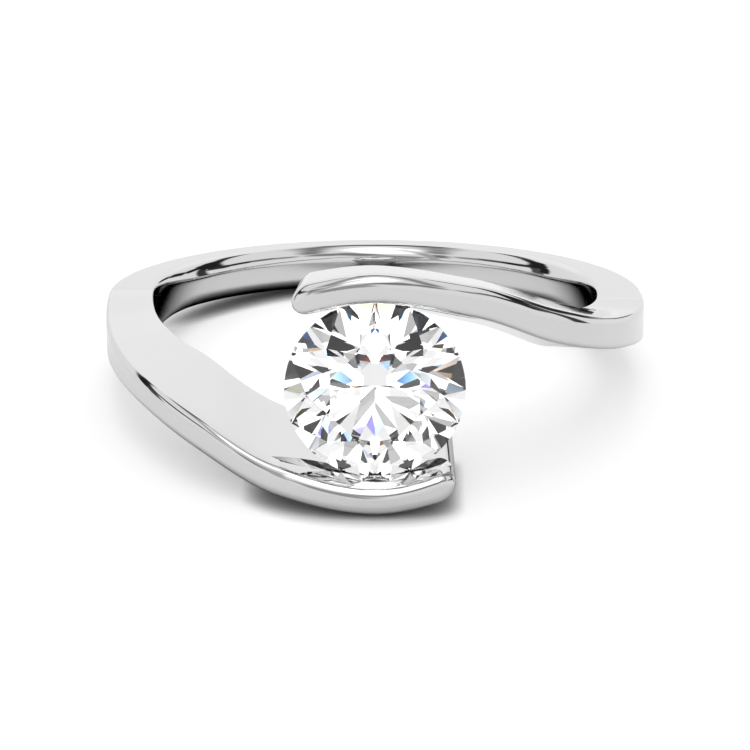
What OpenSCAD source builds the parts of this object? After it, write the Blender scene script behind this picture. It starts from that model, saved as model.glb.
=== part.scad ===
// Bypass tension ring with one round brilliant, lying on its side
//
// The band runs once round the finger. Near the front its two ends part: one
// passes under the stone and the other passes over it, and the stone is
// gripped at its girdle between them. The two arms are the same shape, turned
// half round the axis of the stone.
//
// Ring frame: the finger axis is Z, the stone looks along -Y, X is to the right.
// Angles round the finger are counted from the front, positive to the right.
// The whole ring is then laid down: it rests on the lower arm and on the back.

/* [Finger] */
// Inside diameter of the ring
finger_d = 17.3; // [15:0.1:21]

/* [Band] */
// Width of the shank along the finger
shank_w = 1.9; // [1.5:0.1:3]
// Wall of the band at the back
back_wall = 1.42; // [1.1:0.05:2.2]
// Wall of the band at the two sides
side_wall = 1.72; // [1.3:0.05:2.4]
// Wall of the band at the front, where the stone is
front_wall = 3.9; // [3.6:0.05:4.6]
// How square the shoulders of the outline are, 2 is an ellipse
fullness = 2.13; // [2:0.01:2.4]
// Radius on the outer edges of the arms
edge_r = 0.35; // [0.1:0.05:0.42]

/* [Arms] */
// Width of an arm along the finger, beside the stone
arm_w = 0.94; // [0.9:0.02:1.4]
// How far the face that looks at the stone falls towards the finger
near_fall = 1.0; // [0.6:0.05:1.1]
// How far the face that looks away from the stone falls towards the finger
far_fall = 0.5; // [0.1:0.05:0.7]
// Angle by which an arm runs on past the middle of the stone
tip_reach = 12.5; // [11:0.5:16]
// Angle taken by the round end of an arm
tip_round = 2.9; // [2.4:0.1:3.2]

/* [Stone] */
// Diameter of the stone at its girdle
stone_d = 6.03; // [5:0.05:6.6]
// Thickness of the girdle where it is thickest
girdle_t = 0.17; // [0.13:0.01:0.25]
// Width of the table from corner to corner, as a share of the diameter
table_share = 0.527; // [0.5:0.005:0.62]
// Slope of the crown's main facets in degrees
crown_angle = 34.3; // [31:0.1:36]
// Slope of the pavilion's main facets in degrees
pavilion_angle = 40.75; // [39.5:0.05:41.5]
// How far the star facets reach from the table to the girdle
star_share = 0.5; // [0.4:0.01:0.6]
// How far the lower halves reach from the girdle to the culet
lower_share = 0.77; // [0.7:0.01:0.85]

/* [Seat] */
// Height of an arm's edge over the widest point of the stone
grip_gap = 0.185; // [0.15:0.005:0.21]
// Radius of the wheel that cuts the groove for the girdle
wheel_r = 9.3; // [8.6:0.1:10]
// Gap left round the stone in its groove
seat_gap = 0.02; // [0.01:0.005:0.04]
// Gap from the point of the stone to the finger
culet_gap = 0.05; // [0.02:0.01:0.2]

/* [Hidden] */

finger_r = finger_d / 2;
stone_r = stone_d / 2;
back_r = finger_r + back_wall;
side_r = finger_r + side_wall;
front_r = finger_r + front_wall;
half_w = shank_w / 2;

// Heights of the stone along its own axis, from the middle of its girdle
crown_h = girdle_t / 2 + (1 - table_share) * stone_r * tan(crown_angle);
pavilion_h = girdle_t / 2 + stone_r * tan(pavilion_angle);
girdle_y = finger_r + culet_gap + pavilion_h;

// One row for each step of 15 degrees round the finger, from past the stone to the side
STEP = 15;
FIRST = -15;
// rise: how far the near edge has climbed from the shank's edge to the stone
// spread: how much of the shank's extra width is left
// near, far: share of the falls of the two faces, edge: share of the edge radius
// lead: degrees by which a section's inner end runs ahead of its outer end. It makes
// the sections run along the stone's axis at the front, and straight out at the sides
//   rise   spread  near  far   edge  lead
ARM = [
    [0.831, 0.104, 0.9,  0.8,  1,    -6.9],
    [1,     0,     0.95, 1,    1,    0],
    [0.86,  0.104, 1.12, 1.15, 1,    6.9],
    [0.561, 0.194, 1.05, 0.84, 1,    11.3],
    [0.361, 0.158, 0.62, 0.4,  0.85, 9],
    [0.234, 0.274, 0.29, 0.24, 0.65, 1.7],
    [0.127, 0.507, 0.12, 0.1,  0.45, 0],
    [0,     1,     0,    0,    0.35, 0]
];
RISE = 0;
SPREAD = 1;
NEAR = 2;
FAR = 3;
EDGE = 4;
LEAD = 5;

// Slope of a column at a row, so that the curve through the rows has no humps
function gain(col, k) = ARM[k + 1][col] - ARM[k][col];
function bend(a, b) = a * b <= 0 ? 0 : 2 * a * b / (a + b);
function slope(col, k) =
    k == 0 ? gain(col, 0) : k == len(ARM) - 1 ? 0 : bend(gain(col, k - 1), gain(col, k));

// Value of a column at an angle, held past the last row
function between(col, k, u) =
    ARM[k][col] * (1 + 2 * u) * pow(1 - u, 2) + slope(col, k) * u * pow(1 - u, 2)
    + ARM[k + 1][col] * u * u * (3 - 2 * u) - slope(col, k + 1) * u * u * (1 - u);
function row(a) = (a - FIRST) / STEP;
function value(col, a) =
    row(a) >= len(ARM) - 1 ? ARM[len(ARM) - 1][col]
    : between(col, floor(row(a)), row(a) - floor(row(a)));

// Outer outline round the finger, seen along it
function outline(a) =
    let (front = cos(a) > 0)
    let (power = front ? fullness : 2)
    let (reach = front ? front_r : back_r)
    pow(pow(abs(sin(a)) / side_r, power) + pow(abs(cos(a)) / reach, power), -1 / power);

function inner_angle(a) = a + value(LEAD, a);

// Height of the near edge beside the stone, and how far it climbs to get there
grip_h = stone_r + grip_gap;
climb = grip_h + half_w;

// The round end: how much of the arm's width is left at an angle
function end_share(a) = min(1, (a + tip_reach) / tip_round);
function nose(a) = sqrt(1 - pow(1 - end_share(a), 2));

// The four corners of a section of the upper arm, outer and inner, near and far
function near_z(a) = climb * value(RISE, a) - half_w;
function far_z(a) = near_z(a) + arm_w + (shank_w - arm_w) * value(SPREAD, a);
function near_in_z(a) = near_z(a) - near_fall * value(NEAR, a);
function far_in_z(a) = far_z(a) - far_fall * value(FAR, a);
function shrink(z, other, share) = (z + other) / 2 + (z - other) / 2 * share;
function place(r, a, z) = [r * sin(a), -r * cos(a), z];
function corner_near(a) = place(outline(a), a, shrink(near_z(a), far_z(a), nose(a)));
function corner_far(a) = place(outline(a), a, shrink(far_z(a), near_z(a), nose(a)));
function inner_near(a) =
    place(finger_r, inner_angle(a), shrink(near_in_z(a), far_in_z(a), nose(a)));
function inner_far(a) =
    place(finger_r, inner_angle(a), shrink(far_in_z(a), near_in_z(a), nose(a)));

// Points of a rounded corner c, from the line towards p round to the direction e
ROUND = 4;
function unit(v) = v / norm(v);
function rounded(c, p, e, r) =
    let (d = unit(p - c))
    let (half = acos(d * e) / 2)
    let (centre = c + unit(d + e) * r / sin(half))
    let (from = c + d * r / tan(half) - centre, to = c + e * r / tan(half) - centre)
    let (sweep = 180 - 2 * half)
    [for (j = [0 : ROUND])
        centre + (from * sin(sweep * (1 - j / ROUND)) + to * sin(sweep * j / ROUND)) / sin(sweep)];

// Direction on the outer face away from its rim: straight across an arm, and
// turning with the rim round the end. Side is 1 at the near rim, -1 at the far rim
function inward(a, side) =
    let (along = (1 - end_share(a)) / (outline(a) * tip_round * PI / 180))
    let (across = 2 * nose(a) / (far_z(a) - near_z(a)))
    unit([along * cos(a), along * sin(a), side * across]);

// A section reaches a little into the finger, and the bore then cuts it clean
OVERCUT = 0.15;
EDGE_LIMIT = 0.34;
function section(a) =
    let (on = corner_near(a), of = corner_far(a), in_n = inner_near(a), in_f = inner_far(a))
    let (r = min(edge_r * value(EDGE, a), EDGE_LIMIT * (far_z(a) - near_z(a))))
    let (near_arc = rounded(on, in_n, inward(a, 1), r))
    concat(
        [in_f + (in_f - of) * OVERCUT],
        rounded(of, in_f, inward(a, -1), r),
        [for (k = [ROUND : -1 : 0]) near_arc[k]],
        [in_n + (in_n - on) * OVERCUT]);

// The lower arm is the upper arm turned half round the stone's axis
function turned(points) = [for (k = [len(points) - 1 : -1 : 0])
    [-points[k][0], points[k][1], -points[k][2]]];

// Angles of the sections from the back to the end of the upper arm
BACK_STEP = 5;
FRONT_STEP = 2.5;
END_STEP = 14;
end_start = tip_reach - tip_round;
front_count = ceil((90 + end_start) / FRONT_STEP);
STATIONS = concat(
    [for (a = [180 : -BACK_STEP : 90 + BACK_STEP]) a],
    [for (k = [0 : front_count - 1]) 90 - (90 + end_start) * k / front_count],
    [for (t = [0 : END_STEP : 84]) -end_start - tip_round * sin(t)]);
SECTIONS = concat(
    [for (k = [len(STATIONS) - 1 : -1 : 1]) turned(section(STATIONS[k]))],
    [for (a = STATIONS) section(a)]);

// A closed skin over a row of sections, in triangles, with a fan at each end
module skin(sections) {
    n = len(sections[0]);
    last = len(sections) - 1;
    sides = [for (i = [0 : last - 1], k = [0 : n - 1])
        let (m = (k + 1) % n)
        each [[i * n + k, i * n + m, i * n + n + k], [i * n + m, i * n + n + m, i * n + n + k]]];
    start = [for (k = [1 : n - 2]) [0, k + 1, k]];
    finish = [for (k = [1 : n - 2]) [last * n, last * n + k, last * n + k + 1]];
    polyhedron([for (s = sections) each s], concat(start, sides, finish), convexity = 8);
}

// Cutter for the groove that holds the girdle, a wheel with a vee rim
module groove() {
    top = stone_r + seat_gap;
    half_rim = girdle_t / 2 + seat_gap;
    depth = stone_r / 3;
    intersection() {
        translate([0, -girdle_y, top - wheel_r])
            rotate([90, 0, 0])
            rotate_extrude($fn = 180)
            polygon([
                [0, -half_rim - depth * tan(pavilion_angle)],
                [wheel_r - depth, -half_rim - depth * tan(pavilion_angle)],
                [wheel_r, -half_rim],
                [wheel_r, half_rim],
                [wheel_r - depth, half_rim + depth * tan(crown_angle)],
                [0, half_rim + depth * tan(crown_angle)]]);
        translate([-wheel_r, -girdle_y - 2, 0.5])
            cube([2 * wheel_r, 4, 2 * stone_r]);
    }
}

// Both arms get the same groove, turned half round the stone's axis
module both_arms() {
    children();
    rotate([0, 180, 0]) children();
}

// Facets of the stone. Mains lie under the table's corners, and the small
// facets meet half-way between them. Each girdle facet is cut round
FACETS = 8;
TURN = 360 / FACETS;
HALF = TURN / 2;
ARC = 4;
table_r = stone_r * table_share;
star_r = table_r * cos(HALF) + star_share * (stone_r - table_r * cos(HALF));
lower_r = stone_r * (1 - lower_share);
function main_z(r, off, angle) = girdle_t / 2 + tan(angle) * (stone_r - r * cos(off));
star_z = main_z(star_r, HALF, crown_angle);
lower_z = main_z(lower_r, HALF, pavilion_angle);
function ring_at(r, a, z) = [r * cos(a), r * sin(a), z];

// Height of the girdle's edge at angle a, on the plane of the small facet there
function edge_z(a, inner_r, inner_z) =
    let (mid = (floor(a / HALF) + 0.5) * HALF)
    let (rate = (inner_z - girdle_t / 2) / (cos(HALF / 2) * (stone_r - inner_r)))
    girdle_t / 2 + rate * stone_r * (cos(HALF / 2) - cos(a - mid));

GIRDLE = 2 * FACETS * ARC;
girdle_step = 360 / GIRDLE;

// Rows of points: table, stars, upper girdle, lower girdle, lower halves, culet
STONE_POINTS = concat(
    [for (k = [0 : FACETS - 1]) ring_at(table_r, k * TURN, crown_h)],
    [for (k = [0 : FACETS - 1]) ring_at(star_r, k * TURN + HALF, star_z)],
    [for (i = [0 : GIRDLE - 1])
        ring_at(stone_r, i * girdle_step, edge_z(i * girdle_step, star_r, star_z))],
    [for (i = [0 : GIRDLE - 1])
        ring_at(stone_r, i * girdle_step, -edge_z(i * girdle_step, lower_r, lower_z))],
    [for (k = [0 : FACETS - 1]) ring_at(lower_r, k * TURN + HALF, -lower_z)],
    [[0, 0, -pavilion_h]]);
STAR = FACETS;
UPPER = 2 * FACETS;
LOWER = UPPER + GIRDLE;
HALVES = LOWER + GIRDLE;
CULET = HALVES + FACETS;
function up(i) = UPPER + (i + GIRDLE) % GIRDLE;
function low(i) = LOWER + (i + GIRDLE) % GIRDLE;
function star(k) = STAR + (k + FACETS) % FACETS;
function halves(k) = HALVES + (k + FACETS) % FACETS;
STONE_FACES = concat(
    [[for (k = [FACETS - 1 : -1 : 0]) k]],
    [for (k = [0 : FACETS - 1]) [k, (k + 1) % FACETS, star(k)]],
    [for (k = [0 : FACETS - 1]) [k, star(k), up(2 * ARC * k), star(k - 1)]],
    [for (k = [0 : FACETS - 1])
        [star(k), each [for (i = [ARC : -1 : 0]) up(2 * ARC * k + i)]]],
    [for (k = [0 : FACETS - 1])
        [star(k), each [for (i = [2 * ARC : -1 : ARC]) up(2 * ARC * k + i)]]],
    [for (i = [0 : GIRDLE - 1]) [up(i), up(i + 1), low(i + 1), low(i)]],
    [for (k = [0 : FACETS - 1])
        [halves(k), each [for (i = [0 : ARC]) low(2 * ARC * k + i)]]],
    [for (k = [0 : FACETS - 1])
        [halves(k), each [for (i = [ARC : 2 * ARC]) low(2 * ARC * k + i)]]],
    [for (k = [0 : FACETS - 1]) [CULET, halves(k - 1), low(2 * ARC * k), halves(k)]]);

// The ring lies on two points: the rounded far edge of the lower arm in front,
// and the shank's lower edge at the back. This gives its lean and its lift
back_edge_r = edge_r * ARM[len(ARM) - 1][EDGE];
rest_run = front_r - edge_r + back_r - back_edge_r;
rest_rise = far_z(0) - edge_r - half_w + back_edge_r;
rest_lean = atan(rest_rise / rest_run)
    + asin((edge_r - back_edge_r) / norm([rest_run, rest_rise]));
rest_lift = (back_r - back_edge_r) * sin(rest_lean)
    + (half_w - back_edge_r) * cos(rest_lean) + back_edge_r;

// How far the laid-down ring reaches in front of and behind the finger axis.
// Half the difference moves the middle of its footprint to the origin
rest_front = (front_r - edge_r) * cos(rest_lean)
    + (far_z(0) - edge_r) * sin(rest_lean) + edge_r;
rest_back = (back_r - back_edge_r) * cos(rest_lean)
    + (half_w - back_edge_r) * sin(rest_lean) + back_edge_r;
rest_shift = (rest_front - rest_back) / 2;

module laid_down() {
    translate([0, rest_shift, rest_lift]) rotate([-rest_lean, 0, 0]) children();
}

module ring_band() {
    color([0.86, 0.86, 0.87])
        laid_down()
        difference() {
            skin(SECTIONS);
            // The seam of the finger hole's wall is at the front, where the band is open
            translate([0, 0, -2 * shank_w - stone_r])
                rotate([0, 0, -90])
                cylinder(h = 4 * shank_w + stone_d, r = finger_r, $fn = 180);
            both_arms() groove();
        }
}

module centre_stone() {
    color([0.93, 0.96, 0.98])
        laid_down()
        translate([0, -girdle_y, 0])
        rotate([90, 0, 0])
        rotate([0, 0, HALF])
        polyhedron(STONE_POINTS, STONE_FACES, convexity = 4);
}

ring_band();
centre_stone();
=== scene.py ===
"""Looks of the bypass tension ring: a polished band, a round brilliant, a white table and soft light."""
import math

import bmesh
import bpy
import numpy as np
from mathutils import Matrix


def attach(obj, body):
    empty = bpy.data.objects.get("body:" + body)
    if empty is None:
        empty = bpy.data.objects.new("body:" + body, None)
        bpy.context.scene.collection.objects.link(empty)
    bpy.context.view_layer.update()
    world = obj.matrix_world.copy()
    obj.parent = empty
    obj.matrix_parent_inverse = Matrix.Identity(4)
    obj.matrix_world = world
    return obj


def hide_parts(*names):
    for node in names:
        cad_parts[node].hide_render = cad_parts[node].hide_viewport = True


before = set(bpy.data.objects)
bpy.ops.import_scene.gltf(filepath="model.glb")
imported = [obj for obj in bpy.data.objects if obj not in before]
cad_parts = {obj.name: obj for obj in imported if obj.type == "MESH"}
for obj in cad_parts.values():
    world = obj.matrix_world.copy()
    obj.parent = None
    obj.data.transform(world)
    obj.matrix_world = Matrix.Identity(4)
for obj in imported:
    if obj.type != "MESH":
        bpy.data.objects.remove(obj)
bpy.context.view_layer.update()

MM = 0.001

# Sizes of the ring in millimetres, as in the part's source. Angles round the finger are in degrees
FINGER_R = 8.65
SHANK_W = 1.9
BACK_WALL = 1.42
SIDE_WALL = 1.72
FRONT_WALL = 3.9
FULLNESS = 2.13
EDGE_R = 0.35
ARM_W = 0.94
NEAR_FALL = 1.0
FAR_FALL = 0.5
TIP_REACH = 12.5
TIP_ROUND = 2.9
STONE_R = 6.03 / 2
GIRDLE_T = 0.17
CROWN = math.radians(34.3)
PAVILION = math.radians(40.75)
GRIP_GAP = 0.185
WHEEL_R = 9.3
SEAT_GAP = 0.02
CULET_GAP = 0.05

BACK_R = FINGER_R + BACK_WALL
SIDE_R = FINGER_R + SIDE_WALL
FRONT_R = FINGER_R + FRONT_WALL
HALF_W = SHANK_W / 2
GIRDLE_Y = FINGER_R + CULET_GAP + GIRDLE_T / 2 + STONE_R * math.tan(PAVILION)
# how far an arm's near edge climbs, from the shank's edge to over the stone
CLIMB = STONE_R + GRIP_GAP + HALF_W

# One row for each step round the finger, as in the part's source: rise, spread, near, far, edge, lead
STEP = 15
FIRST = -15
ARM = np.array([
    [0.831, 0.104, 0.9, 0.8, 1, -6.9],
    [1, 0, 0.95, 1, 1, 0],
    [0.86, 0.104, 1.12, 1.15, 1, 6.9],
    [0.561, 0.194, 1.05, 0.84, 1, 11.3],
    [0.361, 0.158, 0.62, 0.4, 0.85, 9],
    [0.234, 0.274, 0.29, 0.24, 0.65, 1.7],
    [0.127, 0.507, 0.12, 0.1, 0.45, 0],
    [0, 1, 0, 0, 0.35, 0],
])
RISE, SPREAD, NEAR, FAR, EDGE, LEAD = range(6)

# The edges of the finger hole are crisp at the arms and well rounded round the back
INNER_EDGE_R = 0.05
COMFORT_R = 0.6
# what the sides of the ring have more than the back
COMFORT_MORE = 0.1
# where the rounding starts and over how many degrees it grows, and where the sides ease into the back
ROUND_FROM, ROUND_OVER = 84, 42
BACK_FROM, BACK_OVER = 105, 60
# the largest share of half the inner wall's width that a rounded edge takes
ROUND_SHARE = 0.85

# Into how many parts each is divided: rounded edges, flat faces, the front half, an arm's end, a wheel
OUTER_STEPS = 10
INNER_STEPS = 10
FACE_STEPS = 6
FRONT_STEPS = 220
TIP_STEPS = 30
WHEEL_STEPS = 1440
# points closer than this are one point
MERGE = 0.0004
UP = np.array([0, 0, 1.0])


def column(col, a):
    """A column of the table at angles a in degrees, on a curve with no humps."""
    v = ARM[:, col]
    gain = np.diff(v)
    slope = np.zeros(len(v))
    slope[0] = gain[0]
    for k in range(1, len(v) - 1):
        if gain[k - 1] * gain[k] > 0:
            slope[k] = 2 * gain[k - 1] * gain[k] / (gain[k - 1] + gain[k])
    last = FIRST + STEP * (len(v) - 1)
    t = (np.clip(a, FIRST, last) - FIRST) / STEP
    k = np.clip(np.floor(t).astype(int), 0, len(v) - 2)
    u = t - k
    return (v[k] * (1 + 2 * u) * (1 - u) ** 2 + slope[k] * u * (1 - u) ** 2
            + v[k + 1] * u * u * (3 - 2 * u) - slope[k + 1] * u * u * (1 - u))


def outline(a):
    """Radius of the ring's outer face at angle a: a full curve in front and an ellipse at the back."""
    s, c = np.abs(np.sin(np.radians(a))), np.cos(np.radians(a))
    power = np.where(c > 0, FULLNESS, 2.0)
    reach = np.where(c > 0, FRONT_R, BACK_R)
    return ((s / SIDE_R) ** power + (np.abs(c) / reach) ** power) ** (-1 / power)


def place(r, a, z):
    """Points at radius r, angle a from the front and height z along the finger."""
    a = np.radians(a)
    return np.stack([r * np.sin(a), -r * np.cos(a), z + 0 * a], -1)


def unit(v):
    return v / np.linalg.norm(v, axis=-1, keepdims=True)


def eased_step(t):
    """Rises smoothly from 0 to 1 as t does."""
    t = np.clip(t, 0, 1)
    return t * t * (3 - 2 * t)


def inner_radius(a):
    """Radius on the edges of the finger hole at angle a."""
    comfort = COMFORT_R + COMFORT_MORE * (1 - eased_step((a - BACK_FROM) / BACK_OVER))
    return INNER_EDGE_R + (comfort - INNER_EDGE_R) * eased_step((a - ROUND_FROM) / ROUND_OVER)


def rounded(c, d, e, r, steps):
    """Arc of radius r in the corner c, from its side d to its side e."""
    half = np.arccos(np.clip((d * e).sum(-1), -1, 1)) / 2
    centre = c + unit(d + e) * (r / np.sin(half))[:, None]
    start = c + d * (r / np.tan(half))[:, None] - centre
    stop = c + e * (r / np.tan(half))[:, None] - centre
    sweep = np.pi - 2 * half
    arc = []
    for t in np.linspace(0, 1, steps + 1):
        w0, w1 = np.sin(sweep * (1 - t)) / np.sin(sweep), np.sin(sweep * t) / np.sin(sweep)
        arc.append(centre + start * w0[:, None] + stop * w1[:, None])
    return np.stack(arc, 1)


def arm_angles():
    """Angles of the sections from the back to the upper arm's end, and each one's turn round that end."""
    start = TIP_REACH - TIP_ROUND
    turn = np.radians(np.linspace(0, 90, TIP_STEPS + 1)[1:])
    back = np.arange(180, 90, -1.0)
    front = np.linspace(90, -start, FRONT_STEPS + 1)
    a = np.concatenate([back, front, -start - TIP_ROUND * np.sin(turn)])
    return a, np.concatenate([np.zeros(len(back) + len(front)), turn])


def edge_arcs(a, turn, sign, outer, inner):
    """Rounded outer and inner edges on one side. outer and inner are heights: this side's, the other's."""
    reach = outline(a)
    nose = np.maximum(np.cos(turn), 1e-4)
    half = np.abs(outer[0] - outer[1]) / 2
    half_in = np.abs(inner[0] - inner[1]) / 2
    rim = place(reach, a, (outer[0] + outer[1]) / 2 + sign * half * nose)
    hole = place(FINGER_R, a + column(LEAD, a), (inner[0] + inner[1]) / 2 + sign * half_in * nose)
    # inwards from the rim of the outer face: straight along the finger, and round the end of the arm
    onwards = np.stack([np.cos(np.radians(a)), np.sin(np.radians(a)), 0 * a], -1)
    length = np.radians(TIP_ROUND) * reach
    inwards = unit(onwards * (np.sin(turn) / length)[:, None] - sign * UP * (np.cos(turn) / half)[:, None])
    outer_arc = rounded(rim, unit(hole - rim), inwards, EDGE_R * column(EDGE, a), OUTER_STEPS)
    small = np.minimum(inner_radius(a), ROUND_SHARE * half_in * nose)
    down = -sign * np.tile(UP, (len(a), 1))
    inner_arc = rounded(hole, unit(rim - hole), down, small, INNER_STEPS)
    return outer_arc, inner_arc


def between(p, q):
    """The points that divide a flat face from p to q."""
    return [p + (q - p) * k / FACE_STEPS for k in range(1, FACE_STEPS)]


def arm_sections():
    """Sections from the back to the end of the upper arm, each a loop of points."""
    a, turn = arm_angles()
    near = CLIMB * column(RISE, a) - HALF_W
    far = near + ARM_W + (SHANK_W - ARM_W) * column(SPREAD, a)
    near_in = near - NEAR_FALL * column(NEAR, a)
    far_in = far - FAR_FALL * column(FAR, a)
    far_outer, far_inner = edge_arcs(a, turn, 1, (far, near), (far_in, near_in))
    near_outer, near_inner = edge_arcs(a, turn, -1, (near, far), (near_in, far_in))
    columns = (
        [far_inner[:, k] for k in range(INNER_STEPS, -1, -1)]
        + between(far_inner[:, 0], far_outer[:, 0])
        + [far_outer[:, k] for k in range(OUTER_STEPS + 1)]
        + between(far_outer[:, -1], near_outer[:, -1])
        + [near_outer[:, k] for k in range(OUTER_STEPS, -1, -1)]
        + between(near_outer[:, 0], near_inner[:, 0])
        + [near_inner[:, k] for k in range(INNER_STEPS + 1)]
        + between(near_inner[:, -1], far_inner[:, -1])
    )
    return np.stack(columns, 1)


# The ring's lean, lift and shift as it lies on the lower arm's edge and on the back's, from the same sizes
BACK_EDGE_R = EDGE_R * ARM[-1, EDGE]
FAR_0 = CLIMB - HALF_W + ARM_W
run = FRONT_R - EDGE_R + BACK_R - BACK_EDGE_R
rise = FAR_0 - EDGE_R - HALF_W + BACK_EDGE_R
LEAN = math.atan(rise / run) + math.asin((EDGE_R - BACK_EDGE_R) / math.hypot(run, rise))
COS, SIN = math.cos(LEAN), math.sin(LEAN)
LIFT = (BACK_R - BACK_EDGE_R) * SIN + (HALF_W - BACK_EDGE_R) * COS + BACK_EDGE_R
front_reach = (FRONT_R - EDGE_R) * COS + (FAR_0 - EDGE_R) * SIN + EDGE_R
back_reach = (BACK_R - BACK_EDGE_R) * COS + (HALF_W - BACK_EDGE_R) * SIN + BACK_EDGE_R
SHIFT = (front_reach - back_reach) / 2


def laid_down(points):
    """Points of the ring frame, in millimetres, as the ring lies, in metres."""
    p = np.asarray(points, float)
    y = p[..., 1] * COS + p[..., 2] * SIN + SHIFT
    z = -p[..., 1] * SIN + p[..., 2] * COS + LIFT
    return np.stack([p[..., 0], y, z], -1) * MM


def new_object(name, verts, faces):
    mesh = bpy.data.meshes.new(name)
    mesh.from_pydata([tuple(v) for v in verts], [], faces)
    mesh.update()
    obj = bpy.data.objects.new(name, mesh)
    bpy.context.scene.collection.objects.link(obj)
    return obj


def closed(obj):
    """Joins points that coincide, closes open ends and turns all faces outwards."""
    bm = bmesh.new()
    bm.from_mesh(obj.data)
    bmesh.ops.remove_doubles(bm, verts=bm.verts, dist=MERGE)
    bmesh.ops.holes_fill(bm, edges=[e for e in bm.edges if e.is_boundary], sides=0)
    bmesh.ops.recalc_face_normals(bm, faces=bm.faces)
    bm.to_mesh(obj.data)
    bm.free()
    return obj


def skin_object(name, sections):
    """A solid through sections that all have as many points, closed at both ends."""
    count, size = sections.shape[:2]
    faces = []
    for i in range(count - 1):
        for k in range(size):
            m = (k + 1) % size
            faces.append((i * size + k, i * size + m, (i + 1) * size + m, (i + 1) * size + k))
    return closed(new_object(name, sections.reshape(-1, 3), faces))


def turned_object(name, profile, centre, steps):
    """A solid turned about the line along Y through centre, from (radius, y) pairs that end on the line."""
    verts, faces = [], []
    n = len(profile)
    for i in range(steps):
        t = 2 * math.pi * i / steps
        for r, y in profile:
            verts.append((centre[0] + r * math.sin(t), centre[1] + y, centre[2] + r * math.cos(t)))
    for i in range(steps):
        j = (i + 1) % steps
        for k in range(n - 1):
            faces.append((i * n + k, j * n + k, j * n + k + 1, i * n + k + 1))
    return closed(new_object(name, verts, faces))


def box_object(name, lo, hi):
    v = [(x, y, z) for x in (lo[0], hi[0]) for y in (lo[1], hi[1]) for z in (lo[2], hi[2])]
    f = [(0, 1, 3, 2), (4, 6, 7, 5), (0, 4, 5, 1), (2, 3, 7, 6), (0, 2, 6, 4), (1, 5, 7, 3)]
    return new_object(name, v, f)


def boolean(obj, other, operation):
    """Cuts obj with other, which is used up."""
    m = obj.modifiers.new("cut", "BOOLEAN")
    m.operation = operation
    m.solver = "EXACT"
    m.object = other
    dg = bpy.context.evaluated_depsgraph_get()
    mesh = bpy.data.meshes.new_from_object(obj.evaluated_get(dg))
    obj.modifiers.clear()
    old = obj.data
    obj.data = mesh
    bpy.data.meshes.remove(old)
    bpy.data.objects.remove(other)


# The space round the upper arm in which its wheel cuts. The lower arm's is the same, turned over
WHEEL_X = 8
WHEEL_Y = (-16, -7)
WHEEL_Z = (0.5, 7)


def grooving_wheel(sign):
    """The wheel that grooves an arm for the girdle: sign 1 is the upper arm and -1 the lower one."""
    half, depth = GIRDLE_T / 2 + SEAT_GAP, STONE_R / 3
    # the wheel's axis is along Y, and the crown's side is the front, at -Y
    front = -half - depth * math.tan(CROWN)
    back = half + depth * math.tan(PAVILION)
    slopes = [(WHEEL_R - depth, front), (WHEEL_R, -half), (WHEEL_R, half), (WHEEL_R - depth, back)]
    centre = (0, -GIRDLE_Y, sign * (STONE_R + SEAT_GAP - WHEEL_R))
    wheel = turned_object("groove", [(0, front)] + slopes + [(0, back)], centre, WHEEL_STEPS)
    low, high = sorted(sign * z for z in WHEEL_Z)
    space = box_object("space", (-WHEEL_X, WHEEL_Y[0], low), (WHEEL_X, WHEEL_Y[1], high))
    boolean(wheel, space, "INTERSECT")
    return wheel


# faces that meet at more than this stay sharp
SHARP = math.radians(24)


def ring_band():
    """The band as it lies: the upper arm, the same turned half round, and a groove in each of the two."""
    upper = arm_sections()
    lower = np.roll(upper[1:][::-1][:, ::-1], 1 - FACE_STEPS, axis=1) * np.array([-1, 1, -1])
    obj = skin_object("band", np.concatenate([lower, upper]))
    for sign in (1, -1):
        boolean(obj, grooving_wheel(sign), "DIFFERENCE")
    co = np.array([v.co for v in obj.data.vertices])
    obj.data.vertices.foreach_set("co", laid_down(co).ravel())
    obj.data.update()
    obj.data.shade_smooth()
    obj.data.set_sharp_from_angle(angle=SHARP)
    return obj


# Nodes that the materials and the light share
def plug(tree, value, socket):
    """Links an output to a socket, or sets a number there."""
    if isinstance(value, (int, float)):
        socket.default_value = value
    else:
        tree.links.new(value, socket)


def math_node(tree, operation, a, b):
    n = tree.nodes.new("ShaderNodeMath")
    n.operation = operation
    plug(tree, a, n.inputs[0])
    plug(tree, b, n.inputs[1])
    return n.outputs[0]


def spread(tree, value, span, to, smooth=False):
    """Maps a value that runs over span to one that runs over to."""
    n = tree.nodes.new("ShaderNodeMapRange")
    if smooth:
        n.interpolation_type = "SMOOTHSTEP"
    tree.links.new(value, n.inputs["Value"])
    n.inputs["From Min"].default_value, n.inputs["From Max"].default_value = span
    n.inputs["To Min"].default_value, n.inputs["To Max"].default_value = to
    return n.outputs["Result"]


def noise(tree, source, scale, detail):
    n = tree.nodes.new("ShaderNodeTexNoise")
    n.inputs["Scale"].default_value = scale
    n.inputs["Detail"].default_value = detail
    tree.links.new(source, n.inputs["Vector"])
    return n.outputs["Fac"]


def node_material(name):
    """A new material, its node tree, its main shader and the socket that its surface goes to."""
    mat = bpy.data.materials.new(name)
    mat.use_nodes = True
    tree = mat.node_tree
    tree.nodes.clear()
    surface = tree.nodes.new("ShaderNodeOutputMaterial").inputs["Surface"]
    bsdf = tree.nodes.new("ShaderNodeBsdfPrincipled")
    tree.links.new(bsdf.outputs["BSDF"], surface)
    return mat, tree, bsdf, surface


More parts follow.
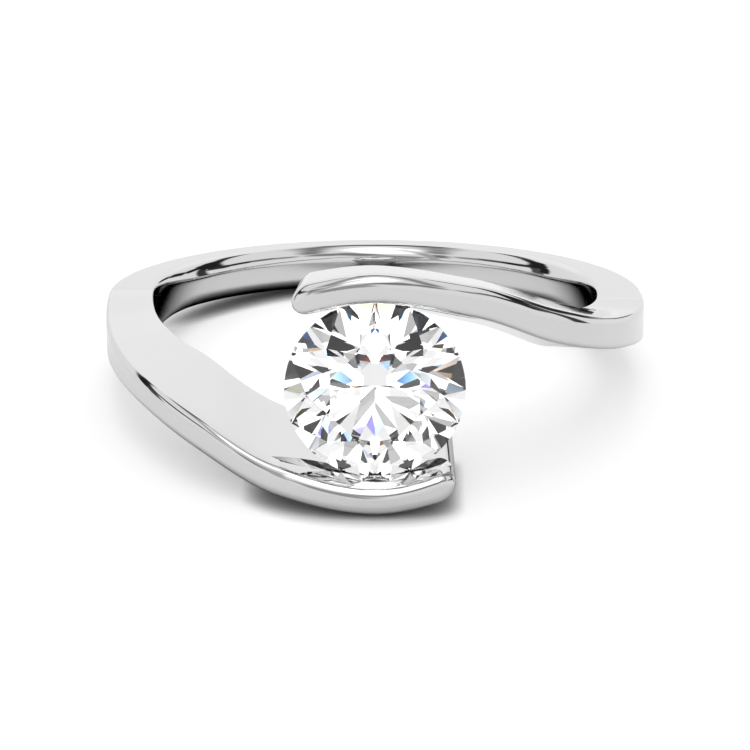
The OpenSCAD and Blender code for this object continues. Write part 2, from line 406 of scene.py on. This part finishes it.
# Metal: the noise has this many cells per metre, and the two kinds of haze add up to the roughness
HAIR_SCALE = 14000
HAIR_STRETCH = (0.12, 0.12, 1.0)
HAIR_SPAN = (0.62, 0.8)
HAIR_HAZE = (0.0, 0.05)
CLOUD_SCALE = 420
CLOUD_SPAN = (0.35, 0.7)
CLOUD_HAZE = (0.035, 0.065)
METAL_TINTS = ((0.64, 0.64, 0.645, 1), (0.66, 0.66, 0.66, 1))
HAIR_BUMP = 0.02
HAIR_DEPTH = 0.00001


def metal_material():
    """White gold with a mirror polish: faint clouds of haze and hairlines left by the buffing wheel."""
    mat, tree, bsdf, _ = node_material("polished_metal")
    bsdf.inputs["Metallic"].default_value = 1.0
    place_on = tree.nodes.new("ShaderNodeTexCoord").outputs["Object"]
    # hairlines run round the band, so the noise is stretched along X and Y
    stretch = tree.nodes.new("ShaderNodeMapping")
    stretch.inputs["Scale"].default_value = HAIR_STRETCH
    tree.links.new(place_on, stretch.inputs["Vector"])
    hairs = noise(tree, stretch.outputs["Vector"], HAIR_SCALE, 3)
    clouds = noise(tree, place_on, CLOUD_SCALE, 4)
    cloud_haze = spread(tree, clouds, CLOUD_SPAN, CLOUD_HAZE)
    hair_haze = spread(tree, hairs, HAIR_SPAN, HAIR_HAZE)
    tree.links.new(math_node(tree, "ADD", cloud_haze, hair_haze), bsdf.inputs["Roughness"])
    tint = tree.nodes.new("ShaderNodeMix")
    tint.data_type = "RGBA"
    tint.inputs[6].default_value, tint.inputs[7].default_value = METAL_TINTS
    tree.links.new(clouds, tint.inputs["Factor"])
    tree.links.new(tint.outputs[2], bsdf.inputs["Base Color"])
    bump = tree.nodes.new("ShaderNodeBump")
    bump.inputs["Strength"].default_value = HAIR_BUMP
    bump.inputs["Distance"].default_value = HAIR_DEPTH
    tree.links.new(hairs, bump.inputs["Height"])
    tree.links.new(bump.outputs["Normal"], bsdf.inputs["Normal"])
    return mat


DIAMOND_IOR = 2.42
STONE_GLOSS = (0.45, 0.45, 0.45, 1)
WHITE = (1, 1, 1, 1)


def stone_material():
    """Clear diamond, cut and polished so that each facet is a mirror."""
    mat, _, bsdf, _ = node_material("diamond")
    bsdf.inputs["Base Color"].default_value = WHITE
    bsdf.inputs["Roughness"].default_value = 0.0
    bsdf.inputs["IOR"].default_value = DIAMOND_IOR
    bsdf.inputs["Transmission Weight"].default_value = 1.0
    bsdf.inputs["Specular Tint"].default_value = STONE_GLOSS
    return mat


# Table, as the camera sees it: white, a little lit from within, and darker right at the ring's foot with
# painted shade, drawn from nearness to the ring, on top of its real shadow
FLOOR_WHITE = 0.9
FLOOR_GLOW = 0.32
FLOOR_ROUGH = 0.6
PAINTED_SHADE_FOOT_REACH = 0.0008
PAINTED_SHADE_FOOT_LEFT = 0.5
# The table as the metal mirrors it: a narrow dark painted shade and a wide faint one, both drawn from
# nearness to the ring, and a faint painted glow
PAINTED_SHADE_REACH = 0.002
PAINTED_SHADE_FULL = 0.55
MIRROR_WHITE = 0.98
PAINTED_UNDER_SHADE_REACH = 0.01
PAINTED_UNDER_SHADE_LEFT = 0.4
PAINTED_UNDER_SHADE_SPAN = (0.5, 0.85)
PAINTED_MIRROR_GLOW = 0.12
# this much is added to the openness in front of this stretch of Y, and less and less along it, which
# lightens the painted shade in front
PAINTED_SHADE_FRONT_EASE = 0.5
PAINTED_SHADE_EASE_SPAN = (0.003, 0.007)
OPEN_SAMPLES = 6
# corners of the table, in metres
TABLE_LO = (-1.5, -1.5, -0.01)
TABLE_HI = (1.5, 1.5, 0)


def openness(tree, reach):
    """1 in the open, and less where something stands closer than reach."""
    n = tree.nodes.new("ShaderNodeAmbientOcclusion")
    n.samples = OPEN_SAMPLES
    n.inputs["Distance"].default_value = reach
    n.inputs["Color"].default_value = WHITE
    return n.outputs["AO"]


def dull(bsdf, roughness):
    """Takes the gloss off a shader and makes its glow white."""
    bsdf.inputs["Roughness"].default_value = roughness
    bsdf.inputs["Specular IOR Level"].default_value = 0.0
    bsdf.inputs["Emission Color"].default_value = WHITE


def floor_material():
    """Smooth white card with painted shade at the ring's foot. Where the polished metal mirrors it, the
    painted shade at the ring's foot is deeper and reaches further, and a faint painted glow is added.
    """
    mat, tree, bsdf, surface = node_material("white_table")
    dull(bsdf, FLOOR_ROUGH)
    # painted shade: near the ring's foot the table's colour is darkened and its glow is taken away
    foot = openness(tree, PAINTED_SHADE_FOOT_REACH)
    foot_span = (0.5, 1.0)
    white = spread(tree, foot, foot_span, (PAINTED_SHADE_FOOT_LEFT * FLOOR_WHITE, FLOOR_WHITE))
    tree.links.new(white, bsdf.inputs["Base Color"])
    glow = spread(tree, foot, foot_span, (0.0, FLOOR_GLOW))
    tree.links.new(glow, bsdf.inputs["Emission Strength"])

    # the painted shade that the metal mirrors is deepest inside the ring, at its back
    where = tree.nodes.new("ShaderNodeSeparateXYZ")
    tree.links.new(tree.nodes.new("ShaderNodeTexCoord").outputs["Object"], where.inputs[0])
    painted_shade_ease = spread(tree, where.outputs["Y"], PAINTED_SHADE_EASE_SPAN, (PAINTED_SHADE_FRONT_EASE, 0.0))
    narrow_painted_shade = math_node(tree, "ADD", openness(tree, PAINTED_SHADE_REACH), painted_shade_ease)
    narrow_painted_shade = spread(tree, narrow_painted_shade, (PAINTED_SHADE_FULL, 1.0), (0.0, MIRROR_WHITE))
    wide_painted_shade = spread(tree, openness(tree, PAINTED_UNDER_SHADE_REACH), PAINTED_UNDER_SHADE_SPAN, (PAINTED_UNDER_SHADE_LEFT, 1.0))
    both = math_node(tree, "MULTIPLY", narrow_painted_shade, wide_painted_shade)
    # the mirrored table: its colour carries the painted shade, and its glow is a painted glow that only the
    # metal's reflections see
    mirrored = tree.nodes.new("ShaderNodeBsdfPrincipled")
    dull(mirrored, 1.0)
    tree.links.new(both, mirrored.inputs["Base Color"])
    mirrored_painted_glow = spread(tree, both, (0.0, 1.0), (0.0, PAINTED_MIRROR_GLOW))
    tree.links.new(mirrored_painted_glow, mirrored.inputs["Emission Strength"])

    # glossy rays, the metal's reflections, see the mirrored table with its painted shade and painted glow;
    # all other rays see the table as the camera does
    either = tree.nodes.new("ShaderNodeMixShader")
    tree.links.new(tree.nodes.new("ShaderNodeLightPath").outputs["Is Glossy Ray"], either.inputs[0])
    tree.links.new(bsdf.outputs[0], either.inputs[1])
    tree.links.new(mirrored.outputs[0], either.inputs[2])
    tree.links.new(either.outputs[0], surface)
    return mat


band = ring_band()
band.data.materials.clear()
band.data.materials.append(metal_material())
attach(band, "root")
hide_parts("ring_band")

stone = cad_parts["centre_stone"]
stone.data.materials.clear()
stone.data.materials.append(stone_material())

floor = box_object("table", TABLE_LO, TABLE_HI)
floor.data.materials.append(floor_material())

# Light: a white studio all round, with panels that add light and dark arcs that the polished metal mirrors.
# Azimuth 0 is behind the ring, 90 to its right and 180 towards the camera
world = bpy.data.worlds.new("studio")
bpy.context.scene.world = world
world.use_nodes = True
sky = world.node_tree
sky.nodes.clear()
sky_surface = sky.nodes.new("ShaderNodeOutputWorld").inputs["Surface"]
ray = sky.nodes.new("ShaderNodeTexCoord").outputs["Generated"]


def sky_point(azimuth, elevation):
    """The direction of a point of the sky."""
    a, e = math.radians(azimuth), math.radians(elevation)
    return np.array([math.sin(a) * math.cos(e), math.cos(a) * math.cos(e), math.sin(e)])


def along(v):
    """How far the ray runs along a direction: the cosine of the angle between them."""
    n = sky.nodes.new("ShaderNodeVectorMath")
    n.operation = "DOT_PRODUCT"
    sky.links.new(ray, n.inputs[0])
    n.inputs[1].default_value = tuple(v)
    return n.outputs["Value"]


def within(cosine, angle, soft):
    """1 where the cosine is that of an angle under the given one, 0 over it, with an edge of twice soft."""
    span = (math.cos(angle + soft), math.cos(max(0, angle - soft)))
    return spread(sky, cosine, span, (0.0, 1.0), smooth=True)


def disc(azimuth, elevation, radius, soft):
    """A round patch of the sky."""
    return within(along(sky_point(azimuth, elevation)), math.radians(radius), math.radians(soft))


def strip(start, stop, half_width, soft):
    """A band of the sky along the arc from start to stop, each (azimuth, elevation)."""
    a, b = sky_point(*start), sky_point(*stop)
    w, f = math.radians(half_width), math.radians(soft)
    aside = math_node(sky, "ABSOLUTE", along(unit(np.cross(a, b))), 0)
    across = spread(sky, aside, (math.sin(w + f), math.sin(max(0, w - f))), (0.0, 1.0), smooth=True)
    ends = within(along(unit(a + b)), math.acos(float(a @ b)) / 2, f)
    return math_node(sky, "MULTIPLY", across, ends)


def light_left(mask, left):
    """1 outside the mask and left inside it."""
    return math_node(sky, "SUBTRACT", 1.0, math_node(sky, "MULTIPLY", mask, 1.0 - left))


STUDIO = 1.04
# Panels: from, to (each azimuth and elevation), half width, softness, light added
BRIGHT = (
    ((-170, 42), (-172, 88), 14, 4, 0.9),
    ((0, 84), (180, 84), 8, 4, 1.5),
    ((-25, 28), (20, 28), 17, 9, 0.16),
)
# Arcs: from, to, half width, softness, light left
DARK = (
    ((-17, 43), (-37, 43.5), 3, 1.5, 0.04),
    ((-35, 42), (-54, 38.5), 5, 1.5, 0.02),
    ((-48, 38.5), (-74, 27), 5.5, 1.5, 0.02),
    ((-70, 27.5), (-87, 28), 5.5, 1.5, 0.03),
    ((-82, 27.5), (-101, 29.5), 6.5, 2, 0.03),
    ((-94, 30), (-116, 32), 6.5, 3, 0.12),
    ((-112, 32), (-130, 31), 7, 4, 0.35),
    ((-60, 32), (-76, 8), 5, 2, 0.02),
    ((-74, 26), (-82, 1), 5, 1.5, 0.1),
    ((-12, 55), (-46, 70), 4, 4, 0.35),
    ((-46, 70), (-102, 69), 4, 4, 0.35),
    ((-102, 69), (-134, 50), 5, 4, 0.35),
    ((-137, 42), (-142, 20), 5, 4, 0.25),
    ((-15, 52), (11, 52), 9, 1.2, 0.04),
    ((20, 42.5), (37, 43.5), 3, 1.5, 0.04),
    ((34, 41), (54, 37), 5.5, 1.5, 0.02),
    ((38, 36.5), (68, 26.5), 6, 1.5, 0.02),
    ((48, 38.5), (74, 27), 5.5, 1.5, 0.02),
    ((68, 25), (90, 23), 6.5, 1.5, 0.04),
    ((84, 25), (101, 32), 6, 2, 0.04),
    ((96, 31.5), (116, 35.5), 6, 3, 0.2),
    ((112, 35), (130, 34), 6, 4, 0.35),
    ((16, 2), (26, 11), 4, 2, 0.02),
    ((26, 11), (44, 17.5), 5, 2, 0.02),
    ((44, 17.5), (50, 32), 5.5, 2, 0.02),
    ((57, 31), (76, -2), 5, 2, 0.05),
    ((12, 55), (46, 70), 4, 4, 0.25),
    ((46, 70), (102, 69), 4, 4, 0.25),
    ((102, 69), (134, 48), 5, 4, 0.3),
    ((136, 42), (160, 34), 10, 5, 0.3),
    ((150, 45), (180, 25), 9, 5, 0.27),
    ((180, 23), (-152, 14), 7, 4, 0.35),
    ((-180, 9), (-156, 4), 9, 3, 0.42),
    ((-147, 5), (-147, 74), 3.5, 2, 0.5),
)


def studio_light():
    """How bright the studio is in the ray's direction."""
    level = STUDIO
    for start, stop, half, soft, added in BRIGHT:
        panel = strip(start, stop, half, soft)
        level = math_node(sky, "ADD", level, math_node(sky, "MULTIPLY", panel, added))
    # where arcs cross, the darker one counts
    open_share = 1.0
    for start, stop, half, soft, left in DARK:
        arc = strip(start, stop, half, soft)
        open_share = math_node(sky, "MINIMUM", open_share, light_left(arc, left))
    return math_node(sky, "MULTIPLY", level, open_share)


# What the stone gathers: the same white studio, with round dark cards that give its facets contrast.
# Red sees the cards FIRE degrees lower and blue as much higher, which gives the stone its fire
STONE_LIGHT = 1.9
FIRE = 0.4
CARD_SOFT = 1.2
# light left in red, green and blue
BLACK = (0.02, 0.02, 0.02)
GREY = (0.3, 0.3, 0.3)
VIOLET = (0.2, 0.18, 0.5)
# Cards: azimuth, elevation, radius, light left
CARDS = (
    (155, 31, 8, BLACK), (-155, 31, 8, BLACK), (176, 49, 8, BLACK), (142, 39, 8, BLACK),
    (-140, 36, 5, BLACK), (134, 21, 8, BLACK), (-134, 21, 8, BLACK), (-178, 18, 5, BLACK),
    (-165, 63, 8, BLACK), (159, 67, 8, BLACK), (-105, 13, 8, BLACK), (10, 12, 8, BLACK),
    (172, 12, 7, GREY), (-178, 38, 8, GREY), (128, 50, 8, GREY), (-128, 49, 8, GREY),
    (175, 55, 8, GREY), (-150, 18, 5, GREY),
    (-173, 5, 2, VIOLET), (-157, 6, 3.5, VIOLET), (-170, 23, 3.5, VIOLET),
)


def stone_light():
    """The colour that the stone gathers from the ray's direction."""
    colour = sky.nodes.new("ShaderNodeCombineColor")
    for channel, turn in enumerate((-FIRE, 0, FIRE)):
        gathered = STONE_LIGHT
        for azimuth, elevation, radius, left in CARDS:
            card = disc(azimuth, elevation + turn, radius, CARD_SOFT)
            gathered = math_node(sky, "MULTIPLY", gathered, light_left(card, left[channel]))
        sky.links.new(gathered, colour.inputs[channel])
    return colour.outputs[0]


seen = sky.nodes.new("ShaderNodeMixShader")
sky.links.new(sky.nodes.new("ShaderNodeLightPath").outputs["Is Transmission Ray"], seen.inputs[0])
for socket, light in ((1, studio_light()), (2, stone_light())):
    lamps = sky.nodes.new("ShaderNodeBackground")
    sky.links.new(light, lamps.inputs["Color"])
    sky.links.new(lamps.outputs[0], seen.inputs[socket])
sky.links.new(seen.outputs[0], sky_surface)

# Camera, with the photograph's place, angle and lens. Against the ring's own plane it stands CAMERA_D
# millimetres from the middle of the finger hole and CAMERA_RISE up, and looks CAMERA_DIP down
CAMERA_D = 70.0
CAMERA_RISE = math.radians(13.16)
CAMERA_DIP = math.radians(15.21)
FOCAL_PX = 1776.3
FRAME_PX = 750
SENSOR_MM = 36
lens = bpy.data.cameras.new("camera")
lens.sensor_width = SENSOR_MM
lens.lens = FOCAL_PX * SENSOR_MM / FRAME_PX
lens.clip_start = 0.001
lens.clip_end = 10
camera = bpy.data.objects.new("camera", lens)
bpy.context.scene.collection.objects.link(camera)
camera.location = laid_down([0, -CAMERA_D * math.cos(CAMERA_RISE), CAMERA_D * math.sin(CAMERA_RISE)])
camera.rotation_euler = (math.pi / 2 - (CAMERA_DIP + LEAN), 0, 0)
bpy.context.scene.camera = camera
bpy.context.scene.view_settings.view_transform = "Standard"
